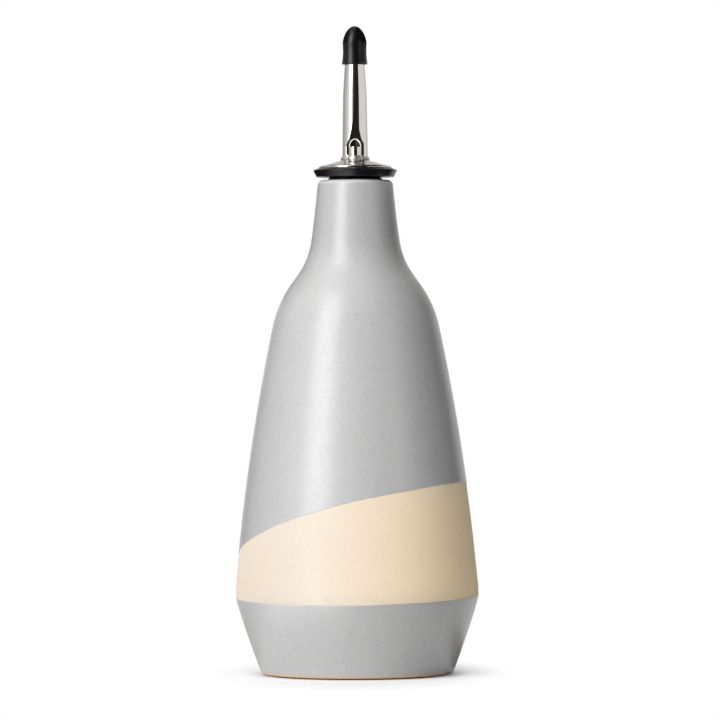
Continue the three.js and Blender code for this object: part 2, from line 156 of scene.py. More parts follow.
# %% Turned grid
def turned(outline, columns, y=0.0):
    """An outline of (radius, height) points turned round an upright axis at y: (r sin t, y - r cos t, z)."""
    angle = np.linspace(0, 2 * np.pi, columns, endpoint=False)
    radius, height = outline[:, :1], outline[:, 1:] + np.zeros(columns)
    return np.stack((radius * np.sin(angle), y - radius * np.cos(angle), height), -1)


print("two points turned in 12 columns: a grid of", turned(np.eye(2), 12).shape)

# %% Grid to mesh
SHARP_EDGE = 0.6


def finish_shading(mesh):
    """Smooth faces, with edges that turn by more than the sharp angle, in radians, kept crisp."""
    mesh.polygons.foreach_set("use_smooth", np.ones(len(mesh.polygons), bool))
    mesh.set_sharp_from_angle(angle=SHARP_EDGE)
    mesh.update()


def surface(name, points, loop=False, **attributes):
    """A mesh object from a grid of points in millimetres, rows by columns by 3, closed round its columns.

    A first or last row that is a single point becomes a pole. loop joins the last row to the first. The
    faces are turned round if the signed volume, the sum of a . (b x c) / 6 over the triangles, is negative.
    """
    rows, columns = points.shape[:2]
    index = np.arange(rows * columns).reshape(rows, columns)
    for row in (0, rows - 1):
        if np.ptp(points[row], axis=0).max() < TINY:
            index[row] = index[row, 0]
    used, compact = np.unique(index, return_inverse=True)
    index = compact.reshape(rows, columns)
    place = points.reshape(-1, 3)[used] * MM
    low, high = (index, np.roll(index, -1, 0)) if loop else (index[:-1], index[1:])
    quads = np.stack((low, np.roll(low, -1, 1), np.roll(high, -1, 1), high), -1).reshape(-1, 4)
    a, b, c, d = (place[quads[:, k]] for k in range(4))
    if (np.cross(b, c) * a).sum() + (np.cross(c, d) * a).sum() < 0:
        quads = quads[:, ::-1]
    first, last = quads[:, 0] == quads[:, 1], quads[:, 2] == quads[:, 3]
    faces = quads[~(first | last)].tolist() + quads[first][:, 1:].tolist() + quads[last][:, :3].tolist()
    mesh = bpy.data.meshes.new(name)
    mesh.from_pydata(place.tolist(), [], faces)
    for label, values in attributes.items():
        layer = mesh.attributes.new(label, "FLOAT", "POINT")
        layer.data.foreach_set("value", values.ravel()[used].astype(np.float32))
    finish_shading(mesh)
    piece = bpy.data.objects.new(name, mesh)
    bpy.context.collection.objects.link(piece)
    print(f"{name}: {len(mesh.vertices)} points, {len(mesh.polygons)} faces")
    return piece


# %% Place in the frame
def settle(piece, node, body, slot):
    """The piece stands for a CAD node, which it hides, and rides on its body; the record's slot is only
    printed.
    """
    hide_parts(node)
    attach(piece, body)
    print(f"{piece.name} stands for {node}, rides on {body} and has the finish {slot}")


# %% [markdown]
# ## The bottle
#
# The clay was cast in a mould, so the form is a plain turned one: a bevelled foot, a belt low down, a
# long flank that bulges a little, a soft shoulder and a tapered neck. A Screw modifier could make it, but
# the glaze edges slant round the body, and a grid whose rows follow those edges gives them a true step.
# So the wall is a function of the angle and of a row, and the rows are packed close on each side of an
# edge.

# %% Bottle sizes, in millimetres
MOUTH_RADIUS = 10.57
WALL = 4.2
FLOOR_Z = 6.0
FOOT = (36.2, 0.0, 2.4)
BEVEL = (41.65, 14.7, 360)
BELT = (46.5, 30.1, 17)
FLANK = (40.83, 87.0, 820)
SHOULDER = (29.87, 140.2, 42)
NECK = (17.8, 157.2, 28)
THROAT = (15.8, 170.9, 300)
RIM = (14.13, RIM_Z, 1.9)
MOUTH = (MOUTH_RADIUS, RIM_Z, 0.85)
FOOT_RECESS = 1.6
FOOT_RING = (FOOT[0] - 6.0, 0, 0.5)
RECESS = (FOOT_RING[0] - FOOT_RECESS, FOOT_RECESS, 0.8)
BORE_ROUNDING = 14
INNER_ROUNDINGS = (38, 820, 13, 360, 9)
print(f"mouth {2 * MOUTH_RADIUS:.1f} mm across, wall {WALL} mm, foot ring {2 * FOOT_RING[0]:.1f} mm inside")


# %% Bottle section
def bottle_section():
    """The clay's outline from the axis underneath up the outside, over the rim and down the inside again.

    The hollow is the outer wall moved inwards, and the slope of its shoulder runs on till it meets the bore.
    """
    body = [FOOT, BEVEL, BELT, FLANK, SHOULDER, NECK]
    hollow = inset([(0, FLOOR_Z - WALL), (FOOT[0], FLOOR_Z - WALL), *body[1:]], WALL)
    slope = (NECK[1] - SHOULDER[1]) / (NECK[0] - SHOULDER[0])
    bore_z = hollow[-1][1] + (MOUTH_RADIUS - hollow[-1][0]) * slope
    inside = [(*corner, rounding) for corner, rounding in zip(hollow[::-1], INNER_ROUNDINGS)]
    outside = [(0, FOOT_RECESS), RECESS, FOOT_RING, *body, THROAT, RIM, MOUTH]
    corners = [*outside, (MOUTH_RADIUS, bore_z, BORE_ROUNDING), *inside, (0, FLOOR_Z)]
    return rounded(corners, step=2.4, turn_step=0.08)


section = bottle_section()
print(f"bottle section: {len(section)} points, {2 * section[:, 0].max():.1f} mm across the belt")

# %% Glaze edges
LOWER_DIP = (BELT[1] - 0.4, 0.5, -1.3)
UPPER_DIP = (BELT[1] + 28.9, 13.2, 7.8)
UPPER_SWAY = -1.9
WAVER = ((0.07, 9, 1.1), (0.05, 23, 0.4), (0.03, 51, 2.0))
LOWER_WAVER = -0.8


def dip_lines(angle):
    """Heights of the lower and upper glaze edge at an angle that runs from the front towards the right.

    Each edge is a level, a sine for its slope to the side and a cosine for its slope to the front. The
    lower dip was nearly level. The upper one was slanted, and a double-angle sine gives it the sway of the
    hand. Both waver by about a tenth of a millimetre: three sines, each with a height, a number of waves
    and a start.
    """
    waver = sum(high * np.sin(waves * angle + start) for high, waves, start in WAVER)
    sine, cosine = np.sin(angle), np.cos(angle)
    lower, upper = (level + side * sine + front * cosine for level, side, front in (LOWER_DIP, UPPER_DIP))
    return lower + LOWER_WAVER * waver, upper + UPPER_SWAY * np.sin(2 * angle) + waver


def soft_step(x, width):
    """0 below -width, 1 above width, and the smooth cubic 3t^2 - 2t^3 between."""
    t = np.clip((x + width) / (2 * width), 0, 1)
    return t * t * (3 - 2 * t)


print("glaze edges in front at", [round(float(z), 1) for z in dip_lines(0.0)], "mm")

# %% Bottle rows
GLAZE = 0.2
GLAZE_EDGE = 0.09
EDGE_ROWS = np.array([-1.2, -0.7, -0.4, -0.2, -0.1, -0.03, 0.03, 0.1, 0.2, 0.4, 0.7, 1.2])[:, None]
EDGE_REACH = 2.0
BAND_ROWS = 26
BAND_PACKING = 1.3
ABOVE_FOOT = 0.6
ABOVE_DIP = 4.0
FOOT_CLAY = 1.15
FOOT_CLAY_EDGE = 0.12


def bottle_rows(angle):
    """Radius, height, bare-clay share and foot-clay share of every point of the bottle, rows by columns.

    Below and above the dips the rows are level ones of the section. Those between are heights measured from
    the two dip lines, and their radius is read from the section, less the glaze where the clay is bare.
    """
    lower, upper = dip_lines(angle)
    top = int(np.argmax(section[:, 1]))
    climb = section[: top + 1]
    level = upper.max() + ABOVE_DIP
    foot = section[: np.argmax((section[:, 0] > FOOT[0]) & (section[:, 1] > FOOT[2]))]
    above = np.concatenate([climb[climb[:, 1] > level], section[top + 1 :]])

    share = np.linspace(0, 1, BAND_ROWS)[:, None]
    start = foot[-1, 1] + ABOVE_FOOT
    z = np.concatenate([
        start + (lower - EDGE_REACH - start) * share[::2],
        lower + EDGE_ROWS,
        lower + EDGE_REACH + (upper - lower - 2 * EDGE_REACH) * share**BAND_PACKING,
        upper + EDGE_ROWS,
        upper + EDGE_REACH + (level - upper - EDGE_REACH) * share[::2],
    ])
    band = soft_step(z - lower, GLAZE_EDGE) * soft_step(upper - z, GLAZE_EDGE)
    wall = climb[len(foot) - 1 :]
    r = np.interp(z, wall[:, 1], wall[:, 0]) - GLAZE * band

    ring = np.zeros(len(angle))
    clay = 1 - soft_step(foot[:, 1:] - FOOT_CLAY, FOOT_CLAY_EDGE) + ring
    radius = np.concatenate([foot[:, :1] + ring, r, above[:, :1] + ring])
    height = np.concatenate([foot[:, 1:] + ring, z, above[:, 1:] + ring])
    glazed = np.zeros((len(above), len(angle)))
    return radius, height, np.concatenate([clay, band, glazed]), np.concatenate([clay, 0 * band, glazed])


# %% Bottle surface
BOTTLE_COLUMNS = 272
angle = np.linspace(0, 2 * np.pi, BOTTLE_COLUMNS, endpoint=False)
radius, height, bare, brown = bottle_rows(angle)
points = np.stack((radius * np.sin(angle), -radius * np.cos(angle), height), -1)
bottle = surface("stoneware_bottle", points, glaze=1 - bare, brown=brown)
settle(bottle, "bottle", "bottle", "glazed_stoneware")

# %% [markdown]
# ## The stopper
#
# One silicone moulding: a plug with slanted fins that hold it in the neck, a seat that swells into the
# mouth, and a flange that tapers downwards. It is turned from one outline. Then the two holes for the
# tubes are drilled with a Boolean modifier, which is applied at once so that the mesh is final.

# %% Stopper sizes, in millimetres
FIT = 0.3
CORE_RADIUS = 9.27
FIN_RADIUS = MOUTH_RADIUS - FIT
FIN_COUNT = 4
FIN_LEAD = 1.6
FIN_EDGES = (
    (CORE_RADIUS, 0.0, 0.3),
    (FIN_RADIUS, 1.7, 0.15),
    (FIN_RADIUS, 2.2, 0.15),
    (CORE_RADIUS, 2.7, 0.3),
)
SEAT_Z = RIM_Z - MOUTH_RADIUS + CORE_RADIUS
FLANGE_EDGE_Z = CROWN_Z - 0.75
FLANGE_Z = FLANGE_EDGE_Z - 2.6
PLUG_END = (CORE_RADIUS - 0.5, PLUG_Z, 0.4)
SEAT = (CORE_RADIUS, SEAT_Z, 0.4)
SEAT_TOP = (MOUTH_RADIUS, RIM_Z, 0.12)
FLANGE_INNER = (MOUTH_RADIUS - 1.0, FLANGE_Z, 0.25)
FLANGE_UNDER = (FLANGE_RADIUS - 1.2, FLANGE_Z, 0.25)
FLANGE_LOW = (FLANGE_RADIUS, FLANGE_EDGE_Z - 0.3, 0.12)
FLANGE_HIGH = (FLANGE_RADIUS, FLANGE_EDGE_Z, 0.12)
CROWN = (DOME_RADIUS + 0.2, CROWN_Z, 0.3)
STOPPER_COLUMNS = 192
print(f"plug {2 * CORE_RADIUS:.1f} mm across, {FIN_COUNT} fins of {2 * FIN_RADIUS:.1f} mm")

# %% Drilling
DRILL_COLUMNS = 96
DRILL_CLEAR = 2.0


def drill(piece, holes, low, high):
    """Takes round holes of (radius, y) out of a piece that lies between two heights."""
    low, high = low - DRILL_CLEAR, high + DRILL_CLEAR
    for radius, y in holes:
        rod = np.array([(0, low), (radius, low), (radius, high), (0, high)])
        bar = surface("drill", turned(rod, DRILL_COLUMNS, y))
        cut = piece.modifiers.new("hole", "BOOLEAN")
        cut.operation = "DIFFERENCE"
        cut.solver = "EXACT"
        cut.object = bar
        depsgraph = bpy.context.evaluated_depsgraph_get()
        mesh = bpy.data.meshes.new_from_object(piece.evaluated_get(depsgraph))
        piece.modifiers.clear()
        piece.data = mesh
        bpy.data.objects.remove(bar)
    finish_shading(piece.data)
    print(f"{piece.name}: {len(holes)} holes, {len(piece.data.polygons)} faces")


# %% Stopper surface
def stopper_outline():
    """The plug from its flat end up through its fins, the seat, the flange and the crown under the dome."""
    pitch = (SEAT_Z - PLUG_Z - FIN_LEAD) / FIN_COUNT
    feet = PLUG_Z + FIN_LEAD + pitch * np.arange(FIN_COUNT)
    fins = [(r, z + rise, rounding) for z in feet for r, rise, rounding in FIN_EDGES]
    seat = [SEAT, SEAT_TOP, FLANGE_INNER]
    flange = [FLANGE_UNDER, FLANGE_LOW, FLANGE_HIGH, CROWN]
    return rounded([(0, PLUG_Z), PLUG_END, *fins, *seat, *flange, (0, CROWN_Z)], step=1.0, turn_step=0.2)


stopper = surface("stopper_moulding", turned(stopper_outline(), STOPPER_COLUMNS))
drill(stopper, [(SPOUT_RADIUS + FIT, SPOUT_Y), (VENT_RADIUS + FIT, VENT_Y)], PLUG_Z, CROWN_Z)
settle(stopper, "stopper", "stopper", "silicone")

# %% [markdown]
# ## The dome
#
# A plate pressed from steel sheet, with a rounded edge and two holes for the tubes. A squashed sphere
# would give the bulge but not the edge, so both faces of the sheet are drawn as outlines and turned, and
# the holes are drilled as in the stopper.

# %% Dome
BRAZED = 0.2
DOME_SHEET = 0.7
DOME_EDGE = (DOME_RADIUS, DOME_Z + 0.6, 1.5)
DOME_CREST = (5.8, DOME_TOP_Z, 5.8)
INNER_EDGE = (DOME_RADIUS - 1.4, DOME_EDGE[1] - 0.17, 0.5)
INNER_CREST = (DOME_CREST[0], DOME_TOP_Z - DOME_SHEET, DOME_CREST[2])
DOME_COLUMNS = 192
top_side = [(DOME_RADIUS, DOME_Z), DOME_EDGE, DOME_CREST, (0, DOME_TOP_Z)]
under_side = [(0, INNER_CREST[1]), INNER_CREST, INNER_EDGE, (DOME_RADIUS - DOME_SHEET, DOME_Z)]
dome_top = rounded(top_side, step=0.35, turn_step=0.1)
dome_under = rounded(under_side, step=0.5)
dome = surface("dome_plate_polished", turned(np.concatenate([dome_under, dome_top]), DOME_COLUMNS))
drill(dome, [(SPOUT_RADIUS + BRAZED, SPOUT_Y), (VENT_RADIUS + BRAZED, VENT_Y)], DOME_Z, DOME_TOP_Z)
settle(dome, "dome_plate", "pourer", "polished_steel")

# %% [markdown]
# ## The spout
#
# A drawn steel tube, swaged narrower towards its tip, and pressed flat in front where the vent stands
# before it. A curve with a round bevel could make the tube but not the flat. So the outline of its wall
# is turned into a closed loop, and the points in front are then pushed back.

# %% Spout sizes, in millimetres
SPOUT_WALL = 0.4
SPOUT_TIP_RADIUS = 3.56
SPOUT_SHANK = (SPOUT_RADIUS, DOME_TOP_Z + 2.4, 40)
SPOUT_KNEE = (4.54, DOME_TOP_Z + 24.9, 120)
SPOUT_TIP = (SPOUT_TIP_RADIUS, SPOUT_KNEE[1] + 15.5, 60)
SPOUT_END = (SPOUT_TIP_RADIUS, SPOUT_TOP_Z, 0.15)
PRESS_DEPTH = 1.4
PRESS_RISE = 4.0
PRESS_LEAD = 0.6
PRESS_FADE = 3.3
PRESS_EDGE = 0.1
SPOUT_COLUMNS = 192
print(f"spout {2 * SPOUT_RADIUS:.1f} mm across at its foot and {2 * SPOUT_TIP_RADIUS:.1f} mm at its tip")


# %% Spout surface
def pressed(points):
    """The tube with its front pressed flat above the collar, to give the mouth of the vent room.

    The flat lies at y = depth - radius, and the tube's y becomes the soft maximum of its own and the flat's,
    (a + b + sqrt((a - b)^2 + k^2)) / 2, where k rounds the edge. The depth is even behind the vent and then
    falls off upwards as exp(-rise / fade).
    """
    x, y, z = points[..., 0], points[..., 1] - SPOUT_Y, points[..., 2]
    lead = np.clip((z - COLLAR_TOP_Z) / PRESS_LEAD, 0, 1)
    share = lead * np.exp(-np.maximum(0, z - COLLAR_TOP_Z - PRESS_RISE) / PRESS_FADE)
    flat = PRESS_DEPTH * share - np.hypot(x, y)
    front = (y + flat + np.sqrt((y - flat) ** 2 + (PRESS_EDGE * share) ** 2)) / 2
    return np.stack((x, np.where(share > 0, front, y) + SPOUT_Y, z), -1)


spout_side = [(SPOUT_RADIUS, SPOUT_Z), SPOUT_SHANK, SPOUT_KNEE, SPOUT_TIP, SPOUT_END]
spout_bore = [(r - SPOUT_WALL, z, *rest) for r, z, *rest in spout_side[::-1]]
spout_loop = rounded([*spout_side, *spout_bore, spout_side[0]], step=0.6, turn_step=0.08)
spout_round = turned(spout_loop[:-1], SPOUT_COLUMNS, SPOUT_Y)
spout_dull = np.zeros(spout_round.shape[:2])
spout_dull[int(np.argmax(spout_loop[:, 1])) + 1 :] = 1
spout = surface("spout_tube_swaged", pressed(spout_round), loop=True, dull=spout_dull)
settle(spout, "spout_tube", "pourer", "polished_steel")

# %% [markdown]
# ## The vent
#
# The air vent is a plain tube in front of the spout. Its mouth is cut level in front and on the slant
# behind, so that an arch is left. A Boolean cut would leave long thin faces. Here the rows of the grid
# are shares of the height that the cut leaves at each place, so they follow it.

# %% Vent
VENT_WALL = 0.45
VENT_LIP = 0.1
VENT_MOUTH_Z = DOME_TOP_Z + 5.0
VENT_BORE_FROM = 0.99
STEEL_COLUMNS = 128


def vent_grid():
    """The vent's wall as a grid whose rows are shares of its height, with its mouth cut level in front.

    Over the back half the cut rises on the slant, in step with the distance behind the axis.
    """
    tall = VENT_TOP_Z - VENT_Z
    bore = VENT_RADIUS - VENT_WALL
    lips = [(VENT_RADIUS, tall, VENT_LIP), (bore, tall, VENT_LIP)]
    loop = rounded([(VENT_RADIUS, 0), *lips, (bore, 0), (VENT_RADIUS, 0)], step=1.0, turn_step=0.3)
    grid = turned(loop[:-1], STEEL_COLUMNS, VENT_Y)
    behind = np.maximum(0, grid[..., 1] - VENT_Y) / VENT_RADIUS
    mouth = VENT_MOUTH_Z + (VENT_TOP_Z - VENT_MOUTH_Z) * behind
    grid[..., 2] = VENT_Z + (mouth - VENT_Z) * grid[..., 2] / tall
    return grid


vent_points = vent_grid()
from_axis = np.hypot(vent_points[..., 0], vent_points[..., 1] - VENT_Y)
vent_dull = from_axis < VENT_RADIUS - VENT_BORE_FROM * VENT_WALL
vent = surface("vent_tube_slanted", vent_points, loop=True, dull=vent_dull)
settle(vent, "vent_tube", "pourer", "polished_steel")

# %% [markdown]
# ## The collars
#
# A rounded ring is brazed round the foot of each tube. A torus would lie level, but the dome slopes away
# under it. So the ring's heights are measured from the dome, as shares of the way up to its level top.

# %% Collars
COLLAR_ROWS = 21
COLLAR_LAND = 0.1
COLLAR_BED = 0.1


def collar(name, tube_radius, outer_radius, y):
    """A bead from the dome's surface up to the collars' common top, round a tube at y.

    Its section is half an ellipse: the radius goes out by the cosine of an angle and the height up by the
    sine.
    """
    lean = np.linspace(-np.pi / 2, np.pi / 2, COLLAR_ROWS)
    inner = tube_radius + BRAZED
    out = inner + COLLAR_LAND + (outer_radius - inner - COLLAR_LAND) * np.cos(lean)
    bead = np.stack((out, (1 + np.sin(lean)) / 2), 1)
    ring = turned(np.concatenate([[(inner, 0.0)], bead, [(inner, 1.0)]]), STEEL_COLUMNS, y)
    from_middle = np.hypot(ring[..., 0], ring[..., 1])
    bed = np.interp(from_middle, dome_top[::-1, 0], dome_top[::-1, 1]) + COLLAR_BED
    ring[..., 2] = bed + ring[..., 2] * (COLLAR_TOP_Z - bed)
    return surface(name, ring, loop=True)


spout_collar = collar("spout_collar_ring", SPOUT_RADIUS, SPOUT_COLLAR_RADIUS, SPOUT_Y)
settle(spout_collar, "spout_collar", "pourer", "polished_steel")
vent_collar = collar("vent_collar_ring", VENT_RADIUS, VENT_COLLAR_RADIUS, VENT_Y)
settle(vent_collar, "vent_collar", "pourer", "polished_steel")

# %% [markdown]
# ## The tip cap
#
# A bullet of soft rubber, moulded hollow. A subdivided cylinder could be pulled to this shape by hand,
# but formulas keep its measures: the nose falls away as the square root of one less the height to a
# power, which is a little sharper than an ellipse, and the skirt is drawn in at a waist and flares to a
# rolled lip.

# %% Cap sizes, in millimetres
CAP_NOSE = 6.5
CAP_NOSE_POWER = 1.6
CAP_NOSE_RADIUS = 4.56
CAP_NOSE_Z = CAP_TOP_Z - CAP_NOSE
CAP_WAIST_RADIUS = 4.46
CAP_WAIST_Z = CAP_NOSE_Z - 2.6
CAP_LIP = 0.7
CAP_LIP_ROUNDING = 0.28
CAP_BORE_RADIUS = SPOUT_TIP_RADIUS + FIT
CAP_BORE_END = (CAP_BORE_RADIUS, SPOUT_TOP_Z + FIT, 0.4)
CAP_BORE_KNEE = (CAP_BORE_RADIUS, SPOUT_TIP[1], 20)
SKIRT_ROWS = 48
NOSE_ROWS = 40
CAP_COLUMNS = 128
print(f"cap {2 * CAP_RADIUS:.1f} mm across its lip, {2 * CAP_WAIST_RADIUS:.1f} mm at its waist")


# %% Cap surface
def cap_bore():
    """The bore, which is the spout's outline with room for a fit, from its closed end down, and the lip."""
    side = np.array([(r + FIT, z) for r, z, *_ in spout_side])
    mouth = (np.interp(CAP_Z, side[:, 1], side[:, 0]), CAP_Z)
    bore = rounded([(0, CAP_BORE_END[1]), CAP_BORE_END, CAP_BORE_KNEE, mouth], step=0.5)
    lip = [mouth, (CAP_RADIUS, CAP_Z, CAP_LIP_ROUNDING), (CAP_RADIUS, CAP_Z + CAP_LIP)]
    return np.concatenate([bore, rounded(lip, step=0.2, turn_step=0.15)[1:]])


def cap_outside():
    """The skirt, which widens as the square of the way from its waist, and the nose up to the tip.

    The nose's radius is its widest times sqrt(1 - u^power), where u goes from 0 at its foot to 1 at the tip.
    """
    z = np.linspace(CAP_Z + CAP_LIP, CAP_NOSE_Z, SKIRT_ROWS)[1:]
    low = z < CAP_WAIST_Z
    away = np.abs(z - CAP_WAIST_Z) / np.where(low, CAP_WAIST_Z - CAP_Z - CAP_LIP, CAP_NOSE_Z - CAP_WAIST_Z)
    flare = np.where(low, CAP_RADIUS, CAP_NOSE_RADIUS) - CAP_WAIST_RADIUS
    skirt = np.stack((CAP_WAIST_RADIUS + flare * away**2, z), 1)
    u = np.sin(np.linspace(0, np.pi / 2, NOSE_ROWS))[1:]
    fall = np.sqrt(np.maximum(0, 1 - u**CAP_NOSE_POWER))
    return np.concatenate([skirt, np.stack((CAP_NOSE_RADIUS * fall, CAP_NOSE_Z + CAP_NOSE * u), 1)])


cap = surface("tip_cap_rubber", turned(np.concatenate([cap_bore(), cap_outside()]), CAP_COLUMNS, SPOUT_Y))
settle(cap, "tip_cap", "tip_cap", "cap_rubber")

# %% [markdown]
# ## Materials
#
# Colours are written as the sRGB hex values a paint chart would give and turned to linear light once. One
# function adds a node with its values and links. The scale of a noise is one over the size of its grains
# in metres, and patterns lie on Object coordinates, so that they are fixed to the piece and true to size.


# %% Colours and sizes of grains
def linear(code):
    """An sRGB hex colour as linear light and alpha: ((c + 0.055) / 1.055)^2.4, or c / 12.92 when dark."""
    c = np.array([int(code[i : i + 2], 16) for i in (1, 3, 5)]) / 255
    return (*np.where(c > 0.04045, ((c + 0.055) / 1.055) ** 2.4, c / 12.92), 1.0)


def grains(size_mm):
    """The noise scale that gives grains of about this size."""
    return 1 / (size_mm * MM)


print(f"middle grey is {linear('#808080')[0]:.3f} in linear light")
print(f"grains of 1 mm have the scale {grains(1):.0f}")


# %% Nodes and materials
def add(tree, kind, values=None, links=None):
    """Adds one node, sets its properties or inputs by name or number, and links outputs to its inputs."""
    node = tree.nodes.new("ShaderNode" + kind)
    for key, value in (values or {}).items():
        if isinstance(key, str) and hasattr(node, key):
            setattr(node, key, value)
        else:
            node.inputs[key].default_value = value
    for key, output in (links or {}).items():
        tree.links.new(output, node.inputs[key])
    return node


def new_material(name):
    """An empty material and its node tree."""
    material = bpy.data.materials.new(name)
    material.use_nodes = True
    material.node_tree.nodes.clear()
    return material, material.node_tree


def dress(piece, material):
    """Gives a piece its one material."""
    piece.data.materials.clear()
    piece.data.materials.append(material)
    print(f"{piece.name}: {material.name}, {len(material.node_tree.nodes)} nodes")


# %% [markdown]
# ### Glazed stoneware
#
# Satin grey glaze over a cream stoneware body. The glaze is mottled, darker up the neck as painted shade,
# and paler at the rim as a painted highlight. The bare clay is dry and rough, with fine grog, and the kiln
# toasted it at the foot. It is greyer on the left as painted shade, yellower on the right as painted light,
# and darkest where it stands as a painted contact shadow. A painted picture could carry all this, but tones
# that follow height and side, under noise of the grains' real size, stay sharp however near one looks. The
# share of glaze is an attribute of the mesh, so that the colours change exactly at the step.

# %% Glaze colour
# Satin glaze gives the eye an even grey with a soft, broad highlight, clouded by specks of about 1.5 mm.
COLOURS = {"data_type": "RGBA"}
A, B, MIXED = 6, 7, 2
GLAZE_COLOUR = linear("#c1c1c1")
GLAZE_SPECK = linear("#8f8f8f")
# The darker grey up the neck is painted shade.
GLAZE_NECK_SHADE = linear("#b5b5b5")
# The paler grey at the rim is a painted highlight.
GLAZE_RIM_HIGHLIGHT = linear("#d4d4d4")
NECK_SHADE = (0.150, 0.166)
RIM_HIGHLIGHT = ((RIM_Z - 1.8) * MM, (RIM_Z - 0.5) * MM)
MOTTLE_MM = 1.5
MOTTLE = {"From Min": 0.4, "From Max": 0.75, "To Max": 0.32}


def glaze_colour(tree, coords):
    """Grey darkened up the neck by painted shade and paled at the rim by a painted highlight, with noise
    specks.
    """
    rise = add(tree, "SeparateXYZ", links={0: coords}).outputs["Z"]
    shaded_neck = add(tree, "MapRange", {"From Min": NECK_SHADE[0], "From Max": NECK_SHADE[1]}, {"Value": rise})
    lit_rim = add(tree, "MapRange", {"From Min": RIM_HIGHLIGHT[0], "From Max": RIM_HIGHLIGHT[1]}, {"Value": rise})
    noise = {"Scale": grains(MOTTLE_MM), "Detail": 5, "Roughness": 0.85}
    mottle = add(tree, "TexNoise", noise, {"Vector": coords})
    speck = add(tree, "MapRange", MOTTLE, {"Value": mottle.outputs[0]})
    grey = add(tree, "Mix", {**COLOURS, A: GLAZE_COLOUR, B: GLAZE_NECK_SHADE}, {0: shaded_neck.outputs[0]})
    grey = add(tree, "Mix", {**COLOURS, B: GLAZE_RIM_HIGHLIGHT}, {0: lit_rim.outputs[0], A: grey.outputs[MIXED]})
    grey = add(tree, "Mix", {**COLOURS, B: GLAZE_SPECK}, {0: speck.outputs[0], A: grey.outputs[MIXED]})
    return grey.outputs[MIXED]


print(f"glaze darkens from {NECK_SHADE[0] / MM:.0f} mm up and pales from {RIM_HIGHLIGHT[0] / MM:.1f} mm up")

# %% Clay colour
# Bare stoneware gives the eye a dry cream without a highlight, broken by grog of about 0.7 mm.
CLAY_COLOUR = linear("#f1e9df")
# The greyer tone on the left is painted shade, and the yellower one on the right painted light.
CLAY_LEFT_SHADE = linear("#d1c4b5")
CLAY_RIGHT_LIGHT = linear("#fee9c3")
CLAY_GROG = linear("#e2cfb3")
CLAY_FOOT = linear("#e3bf8e")
# The dark brown at the very bottom is a painted contact shadow.
CLAY_CONTACT_SHADE = linear("#4d3117")
LEFT_SHADE_X, PALE_X, RIGHT_LIGHT_X = -0.046, -0.016, 0.040
CONTACT_SHADE_Z = (0.00025, 0.00065)
GROG = {"From Min": 0.4, "From Max": 0.8, "To Max": 0.6}


def clay_colour(tree, coords, grog, foot_share):
    """Cream with painted shade on the left, painted light on the right and grog over it, and where
    foot_share is 1 toasted clay with a painted contact shadow at the bottom.
    """
    place = add(tree, "SeparateXYZ", links={0: coords}).outputs
    pale = add(tree, "MapRange", {"From Min": LEFT_SHADE_X, "From Max": PALE_X}, {"Value": place["X"]})
    right_light = add(tree, "MapRange", {"From Min": PALE_X, "From Max": RIGHT_LIGHT_X}, {"Value": place["X"]})
    out_of_contact_shade = add(tree, "MapRange", {"From Min": CONTACT_SHADE_Z[0], "From Max": CONTACT_SHADE_Z[1]}, {"Value": place["Z"]})
    speck = add(tree, "MapRange", GROG, {"Value": grog})
    clay = add(tree, "Mix", {**COLOURS, A: CLAY_LEFT_SHADE, B: CLAY_COLOUR}, {0: pale.outputs[0]})
    clay = add(tree, "Mix", {**COLOURS, B: CLAY_RIGHT_LIGHT}, {0: right_light.outputs[0], A: clay.outputs[MIXED]})
    clay = add(tree, "Mix", {**COLOURS, B: CLAY_GROG}, {0: speck.outputs[0], A: clay.outputs[MIXED]})
    foot = add(tree, "Mix", {**COLOURS, A: CLAY_CONTACT_SHADE, B: CLAY_FOOT}, {0: out_of_contact_shade.outputs[0]})
    both = add(tree, "Mix", COLOURS, {0: foot_share, A: clay.outputs[MIXED], B: foot.outputs[MIXED]})
    return both.outputs[MIXED]


# The stained height printed here is that of the painted contact shadow.
print(f"clay is palest at x {PALE_X / MM:.0f} mm and stained up to a height of {CONTACT_SHADE_Z[1] / MM:.2f} mm")

# %% Glazed stoneware
STONEWARE = {"IOR": 1.54, "Specular IOR Level": 0.6}
CLAY_ROUGHNESS = 0.85
GLAZE_ROUGHNESS = 0.31
GROG_MM = 0.7
GRIT = {"Strength": 0.12, "Distance": 0.00005}


def glazed_stoneware():
    """Principled shader whose colour and roughness go from bare clay to glaze by the glaze attribute."""
    material, tree = new_material("glazed_stoneware")
    coords = add(tree, "TexCoord").outputs["Object"]
    glaze = add(tree, "Attribute", {"attribute_name": "glaze"}).outputs["Fac"]
    brown = add(tree, "Attribute", {"attribute_name": "brown"}).outputs["Fac"]
    noise = {"Scale": grains(GROG_MM), "Detail": 5, "Roughness": 0.75}
    grog = add(tree, "TexNoise", noise, {"Vector": coords}).outputs[0]
    tones = {A: clay_colour(tree, coords, grog, brown), B: glaze_colour(tree, coords)}
    colour = add(tree, "Mix", COLOURS, {0: glaze, **tones})
    rough = add(tree, "MapRange", {"To Min": CLAY_ROUGHNESS, "To Max": GLAZE_ROUGHNESS}, {"Value": glaze})
    dry = add(tree, "MapRange", {"To Min": 1.0, "To Max": 0.0}, {"Value": glaze})
    bump = add(tree, "Bump", GRIT, {"Height": grog})
    look = {
        "Base Color": colour.outputs[MIXED],
        "Roughness": rough.outputs[0],
        "Diffuse Roughness": dry.outputs[0],
        "Normal": bump.outputs[0],
    }
    shader = add(tree, "BsdfPrincipled", STONEWARE, look)
    add(tree, "OutputMaterial", links={"Surface": shader.outputs[0]})
    return material


dress(bottle, glazed_stoneware())

